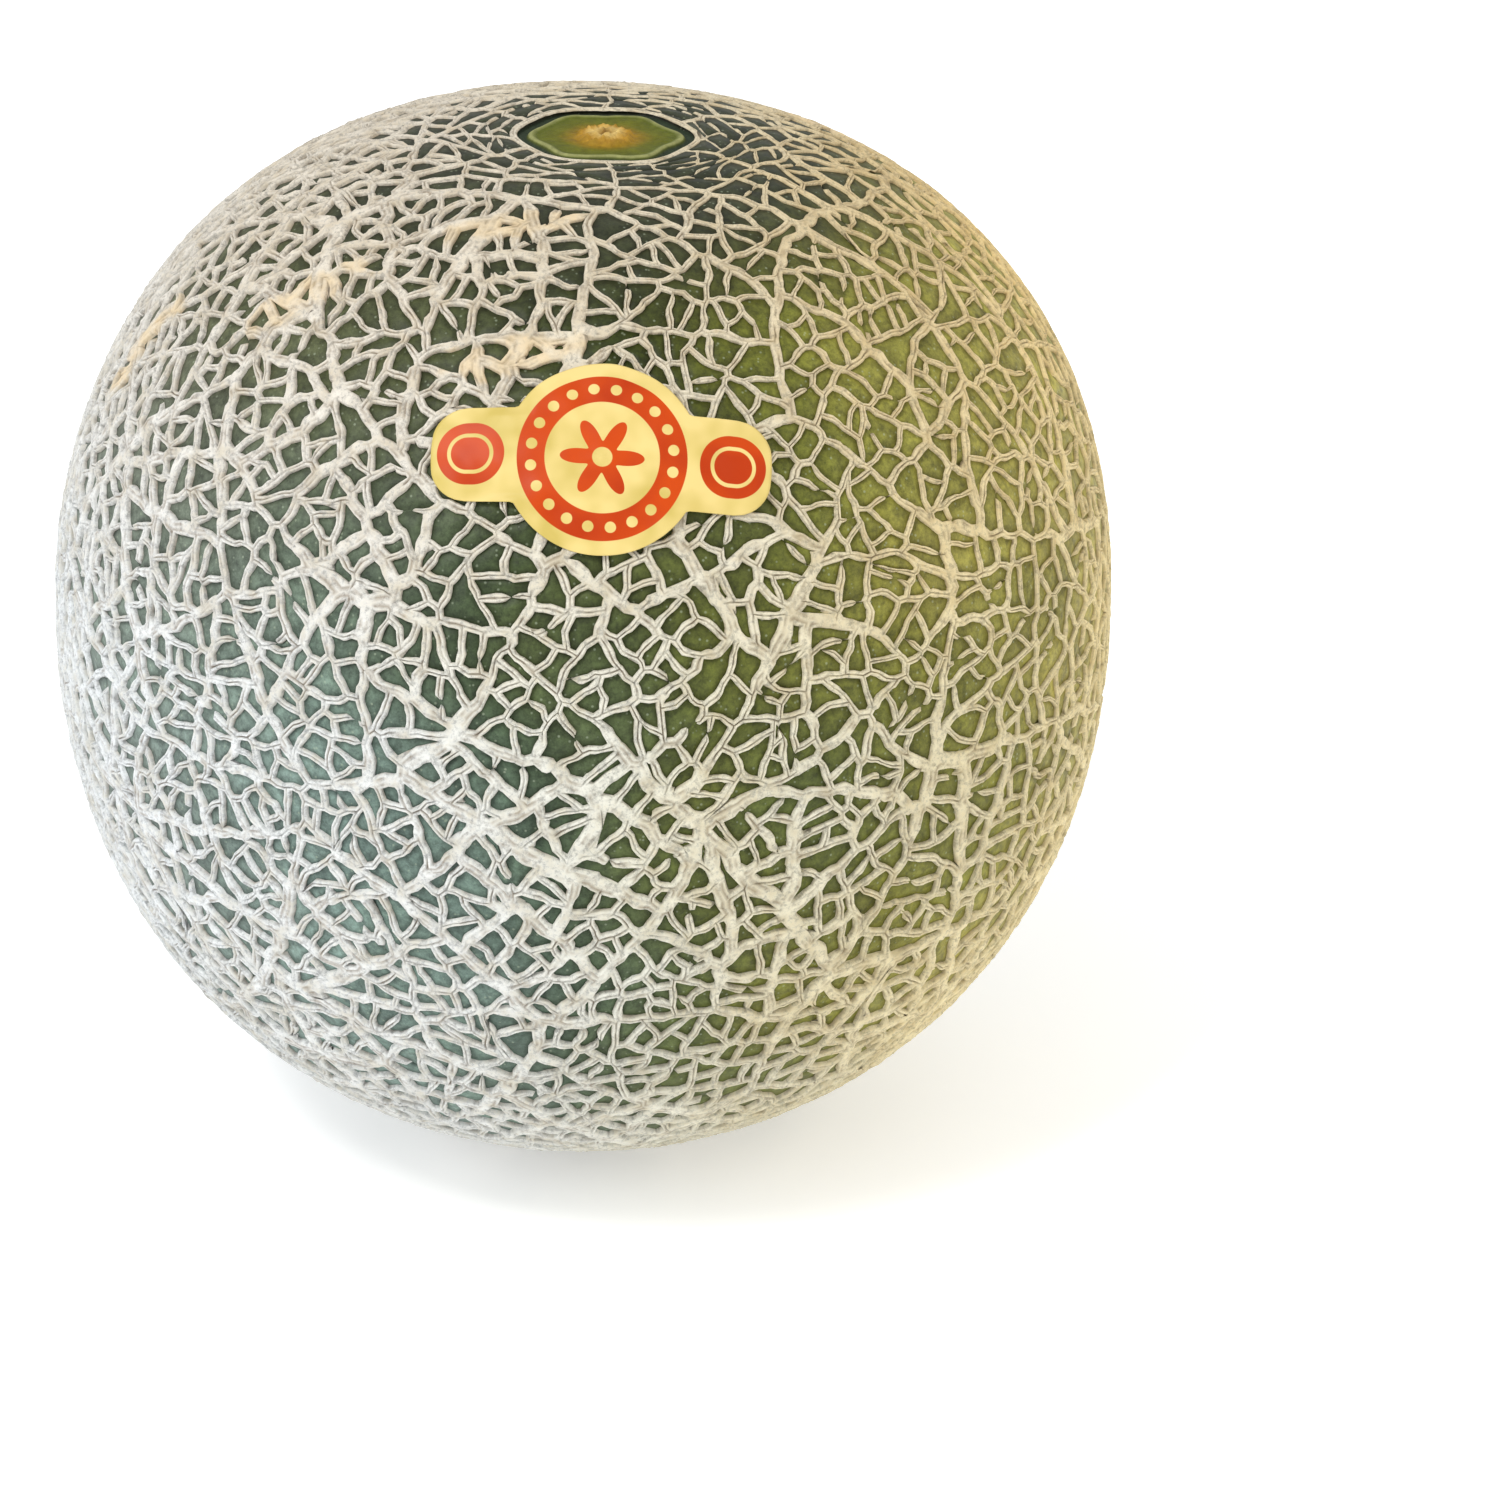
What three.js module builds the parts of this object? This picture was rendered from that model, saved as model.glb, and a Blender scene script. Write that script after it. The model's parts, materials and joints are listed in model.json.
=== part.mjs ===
// A ripe netted muskmelon, standing on its blossom end, with a plain sticker.
// Millimetres, +Z up through the stem end, the sticker faces -Y, and the origin
// is on the resting face, under the middle of the fruit.
//
// The fruit is one solid. Its net of cork cords is raised from the skin: the cords
// follow the borders of the cells nearest to seeded random points, and are then
// pulled straight along the wide ones, as tension does in a cracking skin.

import * as THREE from "three";
import { ConvexHull } from "three/addons/math/ConvexHull.js";

// The fruit's skin
const BELLY_RADIUS = 73.8;
const CROWN_HEIGHT = 70.8; // from the widest level up to the shoulders
const REST_DEPTH = 78.4; // from the widest level down to the resting face
const SKIN_OVER_REST = 0.35; // how far the lowest skin stays above that face
const CROWN_POWER = 2.35; // 2 is an ellipse, more is squarer
const BASE_POWER = 2.2;
const LUMP_HEIGHT = 0.4;
const MEAN_RADIUS = 75; // turns a distance along the surface into an angle

// The stem end
const STEM_LEAN = 2.7; // degrees towards +X
const DIMPLE_DEPTH = 2.6;
const DIMPLE_RADIUS = 20;
const DISC_RADIUS = 11.2;
const DISC_CORNERS = 0.05; // how far the disc's six blunt corners stand out
const RIM_HEIGHT = 0.5;
const RIM_WIDTH = 0.7;
const SCAR_RADIUS = 3.5;
const SCAR_HEIGHT = 0.9;

// The net, with fewer and larger meshes than a real one
const CELLS = 428;
const CELL_JITTER = 0.36; // of the spacing
const MAIN_CELLS = 56; // the groups of cells that the wide cords enclose
const MAIN_JITTER = 0.5;
const WIDE_CORD = 2.4; // half the width at the foot
const NARROW_CORD = 1.6;
const CORD_TOP = 0.6; // the flat top, as a share of the width
const NET_HEIGHT = 1.2;
const WIDE_PULL = 4; // against 1 for a narrow cord
const RELAX_STEPS = 10;
const EDGE_STEPS = 60; // fineness of the search for a cord's edges
const FARTHEST = 0.88; // of the way to a cell's middle that its cords may reach

// Rings of cells round the two ends: distance of their seeds, and how many
const CROWN_RINGS = [
  [17, 9],
  [22.3, 11],
  [28, 12],
];
const CROWN_CLEAR = 33; // other seeds stay farther from the stem's axis
const STRETCH_WITHIN = 34; // cells in here are longer round the stem than across
const STRETCH_POWER = 3;
const BASE_RINGS = [
  [18, 9],
  [27, 14],
];
const BASE_CLEAR = 32;

// The sticker: a disc with a round-ended bar across it
const LABEL_DISC = 25;
const LABEL_BAR_LENGTH = 44;
const LABEL_BAR_HEIGHT = 12.4;
const LABEL_THICKNESS = 0.6;
const LABEL_GAP = 0.4; // from the net's tops to its back
const LABEL_LATITUDE = 36.7; // degrees above the widest level
const LABEL_LONGITUDE = 2.3; // degrees from -Y towards +X
const LABEL_TURN = -2; // degrees, clockwise is negative
const LABEL_SIDES = 48;
const LABEL_BANDS = 4;

const { degToRad, clamp } = THREE.MathUtils;
const DOWN = new THREE.Vector3(0, 0, -1);
const STEM = new THREE.Vector3(Math.sin(degToRad(STEM_LEAN)), 0, Math.cos(degToRad(STEM_LEAN)));

function seededRandom(seed) {
  let state = seed;
  return () => {
    state = (state + 0x6d2b79f5) | 0;
    let mixed = Math.imul(state ^ (state >>> 15), 1 | state);
    mixed = (mixed + Math.imul(mixed ^ (mixed >>> 7), 61 | mixed)) ^ mixed;
    return ((mixed ^ (mixed >>> 14)) >>> 0) / 2 ** 32;
  };
}

// Two unit vectors across a direction: to the right and up, when it points at the viewer.
function across(axis) {
  const right = new THREE.Vector3(0, 1, 0).cross(axis).normalize();
  return [right, axis.clone().cross(right)];
}

// The direction at a distance along the surface from an axis, turned about it.
function around(axis, distance, turn) {
  const [right, up] = across(axis);
  const angle = distance / MEAN_RADIUS;
  return axis
    .clone()
    .multiplyScalar(Math.cos(angle))
    .addScaledVector(right, Math.sin(angle) * Math.cos(turn))
    .addScaledVector(up, Math.sin(angle) * Math.sin(turn));
}

function turnAbout(axis, dir) {
  const [right, up] = across(axis);
  return Math.atan2(dir.dot(up), dir.dot(right));
}

// How far the skin is from the middle of the fruit in a direction.
function skinRadius(dir) {
  const height = dir.z > 0 ? CROWN_HEIGHT : REST_DEPTH - SKIN_OVER_REST;
  const power = dir.z > 0 ? CROWN_POWER : BASE_POWER;
  const sideways = Math.hypot(dir.x, dir.y) / BELLY_RADIUS;
  const upright = Math.abs(dir.z) / height;
  const oval = (sideways ** power + upright ** power) ** (-1 / power);
  const fromStem = STEM.angleTo(dir) * MEAN_RADIUS;
  const dimple = DIMPLE_DEPTH * Math.exp(-((fromStem / DIMPLE_RADIUS) ** 2));
  const lump = Math.sin(3.1 * dir.x + 1.3) * Math.sin(2.7 * dir.y - 0.6);
  return oval - dimple + LUMP_HEIGHT * lump * (1 - dir.z ** 2);
}

// The point at a height over the skin, but never under the resting face.
function surfacePoint(dir, lift) {
  const point = dir.clone().multiplyScalar(skinRadius(dir) + lift);
  point.z = Math.max(point.z + REST_DEPTH, 0);
  return point;
}

// Directions spread evenly on a spiral, each moved at random.
function spread(count, jitter, random) {
  const goldenAngle = Math.PI * (3 - Math.sqrt(5));
  const spacing = Math.sqrt((4 * Math.PI) / count);
  const shift = () => (2 * random() - 1) * jitter * spacing;
  return Array.from({ length: count }, (_, i) => {
    const z = 1 - (2 * i + 1) / count;
    const radius = Math.sqrt(1 - z * z);
    const x = radius * Math.cos(i * goldenAngle);
    const y = radius * Math.sin(i * goldenAngle);
    return new THREE.Vector3(x + shift(), y + shift(), z + shift()).normalize();
  });
}

// Cells that are even in the space shrunk towards the stem come out longer round
// it. A power above 1 shrinks, and its inverse undoes that.
function shrinkToStem(dir, power) {
  const limit = Math.tan(STRETCH_WITHIN / MEAN_RADIUS / 2);
  const share = Math.tan(STEM.angleTo(dir) / 2) / limit;
  if (share === 0 || share >= 1) return dir.clone();
  const angle = 2 * Math.atan(limit * share ** power);
  const axis = STEM.clone().cross(dir).normalize();
  return STEM.clone().applyAxisAngle(axis, angle);
}

function ringSeeds(axis, rings, random) {
  return rings.flatMap(([distance, count], ring) => {
    const wobble = ring === 0 ? 0.15 : 0.5;
    const start = random();
    return Array.from({ length: count }, (_, i) => {
      const turn = ((start + i + wobble * (random() - 0.5)) * 2 * Math.PI) / count;
      return around(axis, distance + wobble * (random() - 0.5), turn);
    });
  });
}

// One point in each cell. The first lies under the stem, the second in the resting face.
function cellSeeds(random) {
  const clear = (dir) =>
    STEM.angleTo(dir) * MEAN_RADIUS > CROWN_CLEAR && DOWN.angleTo(dir) * MEAN_RADIUS > BASE_CLEAR;
  return [
    STEM.clone(),
    DOWN.clone(),
    ...ringSeeds(STEM, CROWN_RINGS, random),
    ...ringSeeds(DOWN, BASE_RINGS, random),
    ...spread(CELLS, CELL_JITTER, random).filter(clear),
  ];
}

function nearestIndex(dir, others) {
  const distances = others.map((other) => other.distanceToSquared(dir));
  return distances.indexOf(Math.min(...distances));
}

// The net: corners where three cells meet, cords from corner to corner with the cells
// beside them, and for each cell its sides by the corner that each one starts at.
function makeNet() {
  const random = seededRandom(20);
  const seeds = cellSeeds(random);
  const groups = spread(MAIN_CELLS, MAIN_JITTER, random);
  const groupOf = seeds.map((seed) => nearestIndex(seed, groups));
  const isEnd = (cell) => cell < 2;

  const shrunk = seeds.map((seed) => shrinkToStem(seed, STRETCH_POWER));
  const cellOf = new Map(shrunk.map((point, cell) => [point, cell]));
  const corners = new ConvexHull().setFromPoints(shrunk).faces.map(({ edge, normal }) => {
    const cells = [edge, edge.next, edge.next.next].map((side) => cellOf.get(side.head().point));
    const dir = shrinkToStem(normal.clone().normalize(), 1 / STRETCH_POWER);
    return { dir, cells, fixed: cells.some(isEnd), cords: [] };
  });

  // Round a corner its cells run counter-clockwise, seen from outside.
  const cornerBetween = new Map();
  corners.forEach(({ cells }, corner) => {
    cells.forEach((cell, i) => cornerBetween.set(`${cell} ${cells[(i + 1) % 3]}`, corner));
  });
  const cords = [];
  const sidesOf = seeds.map(() => new Map());
  for (const [pair, end] of cornerBetween) {
    const [left, right] = pair.split(" ").map(Number);
    const start = cornerBetween.get(`${right} ${left}`);
    const wide = groupOf[left] !== groupOf[right] || isEnd(left) || isEnd(right);
    const half = wide ? WIDE_CORD : NARROW_CORD;
    sidesOf[left].set(start, { start, end, half });
    corners[start].cords.push({ other: end, half, pull: wide ? WIDE_PULL : 1 });
    if (left < right) cords.push({ left, right, start, end });
  }
  relax(corners);
  return { corners, cords, sidesOf };
}

// Each free corner moves half way to the mean of its neighbours, weighted by the pull.
function relax(corners) {
  for (let step = 0; step < RELAX_STEPS; step++) {
    const moved = corners.map(({ dir, fixed, cords }) => {
      if (fixed) return dir;
      const mean = new THREE.Vector3();
      const pulls = cords.reduce((sum, { pull }) => sum + pull, 0);
      for (const { other, pull } of cords) mean.addScaledVector(corners[other].dir, pull / pulls);
      return mean.add(dir).normalize();
    });
    corners.forEach((corner, i) => (corner.dir = moved[i]));
  }
}

// A cell's sides in order, counter-clockwise.
function loopOf(sides) {
  const loop = [sides.values().next().value];
  while (loop.at(-1).end !== loop[0].start) loop.push(sides.get(loop.at(-1).end));
  return loop;
}

function distanceToSegment(point, a, b) {
  const along = b.clone().sub(a);
  const share = clamp(point.clone().sub(a).dot(along) / along.lengthSq(), 0, 1);
  return a.clone().addScaledVector(along, share).distanceTo(point);
}

// On the way from each corner to the cell's middle, the directions in which the
// flat tops of the cords end and in which the cords reach their feet.
function cordEdges(loop, corners) {
  const dirs = loop.map(({ start }) => corners[start].dir);
  const middle = dirs.reduce((sum, dir) => sum.add(dir), new THREE.Vector3()).normalize();
  const [right, up] = across(middle);
  const flatten = (dir) =>
    new THREE.Vector2(dir.dot(right), dir.dot(up)).multiplyScalar(MEAN_RADIUS / dir.dot(middle));
  const outline = dirs.map(flatten);
  const shareOfCord = (point) => {
    const shares = loop.map(({ half }, i) => {
      return distanceToSegment(point, outline[i], outline[(i + 1) % outline.length]) / half;
    });
    return Math.min(...shares);
  };
  return dirs.map((dir) => {
    const along = (step) => dir.clone().lerp(middle, (FARTHEST * step) / EDGE_STEPS).normalize();
    let step = 1;
    while (step < 0.9 * EDGE_STEPS && shareOfCord(flatten(along(step))) < CORD_TOP) step++;
    const top = along(step);
    step++;
    while (step < EDGE_STEPS && shareOfCord(flatten(along(step))) < 1) step++;
    return { top, foot: along(step) };
  });
}

// Collects numbered points and the triangles between them.
class Surface {
  points = [];
  faces = [];

  add(point) {
    return this.points.push(point) - 1;
  }
  quad(a, b, c, d) {
    this.faces.push(a, b, c, a, c, d);
  }
  // Between two loops that run counter-clockwise, seen from outside.
  strip(outer, inner) {
    outer.forEach((from, i) => {
      const next = (i + 1) % outer.length;
      this.quad(from, outer[next], inner[next], inner[i]);
    });
  }
  // The same where the inner loop has twice the points.
  wideningStrip(outer, inner) {
    outer.forEach((from, i) => {
      const to = outer[(i + 1) % outer.length];
      const [first, second] = [inner[2 * i], inner[2 * i + 1]];
      const third = inner[(2 * i + 2) % inner.length];
      this.faces.push(from, to, second, from, second, first, to, third, second);
    });
  }
  fan(loop) {
    for (let i = 2; i < loop.length; i++) this.faces.push(loop[0], loop[i - 1], loop[i]);
  }
  cone(loop, tip) {
    loop.forEach((from, i) => this.faces.push(from, loop[(i + 1) % loop.length], tip));
  }
  geometry() {
    const positions = this.points.flatMap(({ x, y, z }) => [x, y, z]);
    return new THREE.BufferGeometry()
      .setAttribute("position", new THREE.Float32BufferAttribute(positions, 3))
      .setIndex(this.faces);
  }
}

// The stem end: a blunt hexagonal disc with a low rim, and the scar of the stem.
function addStemEnd(surface, feet, footDirs) {
  const turns = footDirs.flatMap((dir, i) => {
    const turn = turnAbout(STEM, dir);
    const next = turnAbout(STEM, footDirs[(i + 1) % footDirs.length]);
    const step = (next - turn + 2 * Math.PI) % (2 * Math.PI);
    return [turn, turn + step / 2];
  });
  const ring = (radius, lift, corners) =>
    turns.map((turn) => {
      const distance = radius * (1 + corners * Math.cos(6 * turn));
      return surface.add(surfacePoint(around(STEM, distance, turn), lift));
    });
  const rings = [
    ring(DISC_RADIUS + RIM_WIDTH / 2, 0, DISC_CORNERS),
    ring(DISC_RADIUS, RIM_HEIGHT, DISC_CORNERS),
    ring(DISC_RADIUS - RIM_WIDTH, 0, DISC_CORNERS),
    ring(SCAR_RADIUS + RIM_WIDTH, 0, 0),
    ring(SCAR_RADIUS, SCAR_HEIGHT, 0),
  ];
  surface.wideningStrip(feet, rings[0]);
  for (let i = 1; i < rings.length; i++) surface.strip(rings[i - 1], rings[i]);
  surface.cone(rings.at(-1), surface.add(surfacePoint(STEM, SCAR_HEIGHT / 2)));
}

function makeMelon() {
  const { corners, cords, sidesOf } = makeNet();
  // Where wide cords meet the net stands highest.
  for (const corner of corners) {
    const widths = corner.cords.reduce((sum, { half }) => sum + half, 0);
    corner.height = NET_HEIGHT * Math.sqrt(widths / corner.cords.length / WIDE_CORD);
  }
  const surface = new Surface();
  const topsOf = sidesOf.map((sides, cell) => {
    const loop = loopOf(sides);
    const edges = cordEdges(loop, corners);
    const tops = edges.map(({ top }, i) => {
      return surface.add(surfacePoint(top, corners[loop[i].start].height));
    });
    const isBase = cell === 1;
    const feet = isBase ? [] : edges.map(({ foot }) => surface.add(surfacePoint(foot, 0)));
    if (isBase) surface.fan(tops);
    else surface.strip(tops, feet);
    if (cell === 0) addStemEnd(surface, feet, edges.map(({ foot }) => foot));
    else surface.fan(feet);
    return new Map(loop.map(({ start }, i) => [start, tops[i]]));
  });
  for (const { left, right, start, end } of cords) {
    const [a, b] = [topsOf[left], topsOf[right]];
    surface.quad(a.get(start), b.get(start), b.get(end), a.get(end));
  }
  corners.forEach(({ cells }, i) => {
    surface.faces.push(...cells.map((cell) => topsOf[cell].get(i)));
  });
  return surface.geometry();
}

// From the middle of the sticker to its outline.
function labelReach(angle) {
  const [along, up] = [Math.abs(Math.cos(angle)), Math.abs(Math.sin(angle))];
  const end = LABEL_BAR_HEIGHT / 2;
  const straight = LABEL_BAR_LENGTH / 2 - end;
  const toSide = end / up;
  const toEnd = straight * along + Math.sqrt(end ** 2 - (straight * up) ** 2);
  return Math.max(toSide * along < straight ? toSide : toEnd, LABEL_DISC / 2);
}

// A thin plate that follows the fruit, just over the tops of the net.
function makeLabel() {
  const longitude = degToRad(LABEL_LONGITUDE);
  const middle = new THREE.Vector3(Math.sin(longitude), -Math.cos(longitude), 0)
    .multiplyScalar(Math.cos(degToRad(LABEL_LATITUDE)))
    .setZ(Math.sin(degToRad(LABEL_LATITUDE)));
  const [right, up] = across(middle);
  const turn = degToRad(LABEL_TURN);
  const pointAt = (share, angle, lift) => {
    const reach = (share * labelReach(angle)) / MEAN_RADIUS;
    const flat = new THREE.Vector2(Math.cos(angle + turn), Math.sin(angle + turn));
    flat.multiplyScalar(reach);
    const dir = middle.clone().addScaledVector(right, flat.x).addScaledVector(up, flat.y);
    return surfacePoint(dir.normalize(), lift);
  };
  const surface = new Surface();
  const face = (lift) => {
    const rings = [];
    for (let band = LABEL_BANDS; band > 0; band--) {
      const angles = Array.from({ length: LABEL_SIDES }, (_, i) => (i * 2 * Math.PI) / LABEL_SIDES);
      rings.push(angles.map((angle) => surface.add(pointAt(band / LABEL_BANDS, angle, lift))));
    }
    return { rings, tip: surface.add(pointAt(0, 0, lift)) };
  };
  const back = face(NET_HEIGHT + LABEL_GAP);
  const front = face(NET_HEIGHT + LABEL_GAP + LABEL_THICKNESS);
  surface.strip(back.rings[0], front.rings[0]);
  for (let band = 1; band < LABEL_BANDS; band++) {
    surface.strip(front.rings[band - 1], front.rings[band]);
    surface.strip(back.rings[band], back.rings[band - 1]);
  }
  surface.cone(front.rings.at(-1), front.tip);
  surface.cone([...back.rings.at(-1)].reverse(), back.tip);
  return surface.geometry();
}

function addPiece(group, name, geometry, material) {
  geometry.computeVertexNormals();
  const mesh = new THREE.Mesh(geometry, material);
  mesh.name = name;
  group.add(mesh);
}

const group = new THREE.Group();
addPiece(
  group,
  "melon",
  makeMelon(),
  new THREE.MeshStandardMaterial({ color: 0xb0af98, roughness: 0.72, metalness: 0 }),
);
addPiece(
  group,
  "label",
  makeLabel(),
  new THREE.MeshStandardMaterial({ color: 0xdb9a55, roughness: 0.35, metalness: 0 }),
);

// Put the middle of the whole over the origin.
const middle = new THREE.Box3().setFromObject(group).getCenter(new THREE.Vector3());
for (const mesh of group.children) mesh.geometry.translate(-middle.x, -middle.y, 0);

export default group;
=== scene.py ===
"""A ripe netted muskmelon with a sticker, dressed over its CAD frame.

The form is worked out in millimetres and built in metres. Directions are unit
vectors from the middle of the fruit, which is REST_DEPTH over the resting face.
The net grows as on the fruit: a few large cells crack in two again and again, and
each crack heals to a cord of cork, the older the wider. Rings of vertices follow
each cell's border inwards: the middle of the cord, its rim, crest and foot.
"""

import json
import math

import bpy
import numpy as np
from mathutils import Matrix, Vector
from mathutils.geometry import delaunay_2d_cdt

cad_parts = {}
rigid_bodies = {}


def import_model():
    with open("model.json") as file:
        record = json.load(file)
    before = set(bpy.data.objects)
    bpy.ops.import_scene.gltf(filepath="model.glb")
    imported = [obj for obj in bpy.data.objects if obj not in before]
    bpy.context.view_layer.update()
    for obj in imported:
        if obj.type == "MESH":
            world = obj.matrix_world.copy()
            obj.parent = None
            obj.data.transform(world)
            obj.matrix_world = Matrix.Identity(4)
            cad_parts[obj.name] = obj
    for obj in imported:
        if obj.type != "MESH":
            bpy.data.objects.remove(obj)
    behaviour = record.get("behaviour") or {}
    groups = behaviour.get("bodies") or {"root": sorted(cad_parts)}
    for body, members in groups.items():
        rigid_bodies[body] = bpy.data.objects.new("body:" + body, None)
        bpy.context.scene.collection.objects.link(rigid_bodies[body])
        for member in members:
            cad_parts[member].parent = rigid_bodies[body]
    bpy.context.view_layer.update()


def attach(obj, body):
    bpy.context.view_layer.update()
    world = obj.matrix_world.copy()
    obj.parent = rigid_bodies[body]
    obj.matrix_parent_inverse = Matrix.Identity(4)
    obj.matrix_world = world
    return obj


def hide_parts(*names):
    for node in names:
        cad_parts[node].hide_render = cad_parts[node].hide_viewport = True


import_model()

MM = 0.001

# The skin, close to the CAD part's and fitted once more to the photo
BELLY_RADIUS = 74.3
CROWN_HEIGHT = 70.75
REST_DEPTH = 78.4
SKIN_OVER_REST = 0.35
CROWN_POWER = 2.3
BASE_POWER = 2.15
LUMP_HEIGHT = 0.4
LUMP_WAVES = ((3.1, 1.3), (2.7, -0.6))  # turns and shifts along X and along Y
MEAN_RADIUS = 75.0
FLAT_SHOULDER = 1.3  # missing on the left, over the belly
FLAT_SHOULDER_WIDTH = 0.42
FLAT_SHOULDER_PLACE = (30, -92)  # latitude, longitude

# The stem end
STEM_LEAN = math.radians(3.2)
DIMPLE_DEPTH, DIMPLE_RADIUS = 2.6, 20.0
DISC_REACH = 13.4  # of the disc with the dark ring outside it
DISC_STOPS = (0.0, 2.6, 3.7, 4.6, 9.4, 10.0, 10.35, 10.7, 11.3, 12.2, DISC_REACH)
DISC_HEIGHTS = (0.7, 1.0, 0.6, 0.05, -0.05, 0.1, 0.22, -0.05, -0.75, -0.85, -0.6)
DISC_SIDES, DISC_RINGS, SCAR_RINGS = 144, 34, 14
DISC_RADII, SCAR_RADII = (DISC_REACH, 4.6), (4.3, 0.5)  # of the rings of the disc and its scar
DISC_FLOOR = -1.6  # of the skin that lies hidden under the disc
RING_CORD_RADIUS = 13.3  # the pale cord round the disc
RING_CORD_HALF = 0.56
RING_ROUNDNESS = 0.6  # 1 is a circle, 0 has the disc's outline
CROWN_REACH = 36.0  # cells in here are longer round the stem than across
CROWN_STRETCH = 2.4  # how much longer next to the ring cord
FULL_STRETCH_WIDTH = 3.0
CROWN_STEPS = 800  # of the table that stretches the crown

# The net
NET_SEED, TONE_SEED = 11, 5  # waves() gets its own seed in each place
FIRST_CELLS = 34
SEED_JITTER = 0.5
STEM_NEIGHBOURS = 6
SCAR_NEIGHBOURS = 5
SCAR_CELL_RADIUS = 3.8
CLEARANCE = 3  # of loose seeds, times the distance of the neighbours' seeds
OPEN_LIMIT = 8.5  # square millimetres of open skin, over which a cell cracks
CELL_SPREAD = 0.26
CELL_DRIFT = 0.24  # cells are larger on the right than on the left
CUT_TURN = 0.4  # radians by which a crack may lean
CUT_SHIFT = 0.12  # of a cell's length that a crack may lie off its middle
CUT_TRIES = 7  # the one that meets both sides most squarely is taken
CUT_DIRECTIONS = 12  # in which a cell's length is measured
SIDE_MARGIN = 1.3  # from a crack's end to the next corner
SIDE_MARGIN_SHARE = 0.35  # of a short side
BEND_SPACING = 4.2  # of the bends in a long crack
BEND = 0.06  # of a crack's length by which it bows to a side
KINK = 0.5  # millimetres by which each bend lies out of line
YOUNG, OLD = 30.0, 900.0  # square millimetres that cracked: thin cords to wide ones
FIRST_AREA = 3600.0  # that stands for the first cells' borders
AGE_POWER = 1.5
CORD_HALF_WIDTHS = (0.5, 0.9)
SWELL, SWELL_LENGTH = 0.28, 26.0  # of main cords, along the fruit
WIDTH_JITTER = 0.14
WIDTH_LIMITS = (0.6, 1.7)
LEAST_HALF = 0.04
CORD_PULLS = (1.0, 8.0)
MINOR_HALF, MAIN_HALF = 0.62, 0.86  # the forms of a minor and a main cord
CROWN_THINNING = 0.42  # of a cord's width next to the stem end
CROWN_FLATNESS = 0.62  # of the net's height that is missing there
FLATNESS_REACH = 44.0
BARE_RADIUS = 18.5  # round the stem, where most cords are broken
OPEN_CORDS = 0.32  # of the younger cords stop short of one end
OLDEST_OPEN = 0.5
STUB_LENGTHS, STUB_TIP = (0.4, 0.75), 0.12  # of the cord
LEFT_THINNING = 0.12  # of a cord's width on the left, where the cells are smaller
WEAK_MIDDLE = (0.82, -0.1, 0.56)  # where the net is thin, low and broken
WEAK_BORDER = (0.25, 0.9)  # cosines of the angle from there
WEAK_THINNING = 0.34
WEAK_FLATNESS = 0.3
WEAK_OPEN = 0.3
POINT_SPACING = 0.92  # of the points along a cord
WANDER = ((26.0, 0.35, 21), (9.0, 0.2, 31), (3.2, 0.17, 41))  # wavelength, millimetres, seed
CROWN_WANDER = 0.15  # of that next to the stem end
NET_HEIGHT = 0.76
SQUEEZED_HEIGHT = 0.75  # of that in the smallest cells
CORD_ROOM = 0.84  # of a cell's depth that its cords may fill
HIDDEN_HALF, SHOWN_HALF = 0.05, 0.3
FLAKES = ((64, -16), (47, -9), (49, -48), (36, -75), (55, 120), (42, 205))  # latitude, longitude
FLAKE_SIZE = (9.5, 2.6)
LOWEST_FLAKE = 30.0
FLAKE_FULLNESS, FLAKE_SOFTNESS, FLAKE_RAGGEDNESS = 1.2, 0.5, 0.3
FLAKE_SWELL = 0.9
SHARP_TURN = 0.4  # the sine over which a bend is a corner with crisp edges
CORNER_ROOM = 0.05  # between a corner's point and the next
NET_ROUGHNESS, ROUGHNESS_LENGTH = 0.07, 1.7
SUNK = -0.45  # of what lies hidden under the skin or the cork
RING_SHARES = ((0.27, 0.54, 0.84, 1.0), (0.42, 0.66, 0.88, 1.0))  # minor, main
RING_HEIGHTS = ((0.8, 0.86, 0.54, -0.25), (0.86, 1.0, 0.66, -0.25))
MIDDLE_HEIGHTS = (0.34, 0.96)
RING_SOFTNESS = (0.0, 0.0, 0.05, 0.08)
# Tan ring by ring, rim to foot, for minor and main cords: real tan on the rims of main cords, while the
# tan at the foot is partly painted shade beside the cord.
TAN_AND_SHADE_TONES = ((0.1, 0.0, 0.15, 0.7), (0.7, 0.0, 0.15, 0.7))
MIDDLE_TONES = (1.0, 0.12)
SCAR_HEIGHT = 0.6
CELL_DOME = 0.06  # of a cell's radius by which its skin rises
NET_PIECES = ("net_base", "net_lower", "net_middle", "net_upper", "net_crown")
SPECK_SPACING = 1.1  # of the pale specks in the skin

# The sticker
LABEL_DISC = 25.0
LABEL_BAR = (44.0, 12.4)
LABEL_PLACE = (36.4, 2.3)  # latitude, longitude
LABEL_TURN = math.radians(-1)
LABEL_CORNER = 4.8
LABEL_LIFT = 1.12  # over the skin
LABEL_THICKNESS = 0.14
LABEL_SIDES, LABEL_RINGS, LABEL_HALVINGS = 200, 30, 24
LABEL_HOLE = 0.03  # of the sticker's size inside the last ring
BAND_INNER, BAND_MIDDLE, BAND_OUTER = 7.2, 8.95, 10.7
BEADS, BEAD_RADIUS = 20, 0.75
PETALS, PETAL_MIDDLE, PETAL_DEPTH, FLOWER_EYE = 6, 3.7, 1.6, 1.3
PILL_PLACE, PILL_STRETCH, PILL_RADIUS = 16.7, 0.4, 4.1
LINE_INNER, LINE_OUTER = 2.2, 2.7
PRINT_SHARPNESS = 12.0

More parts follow.
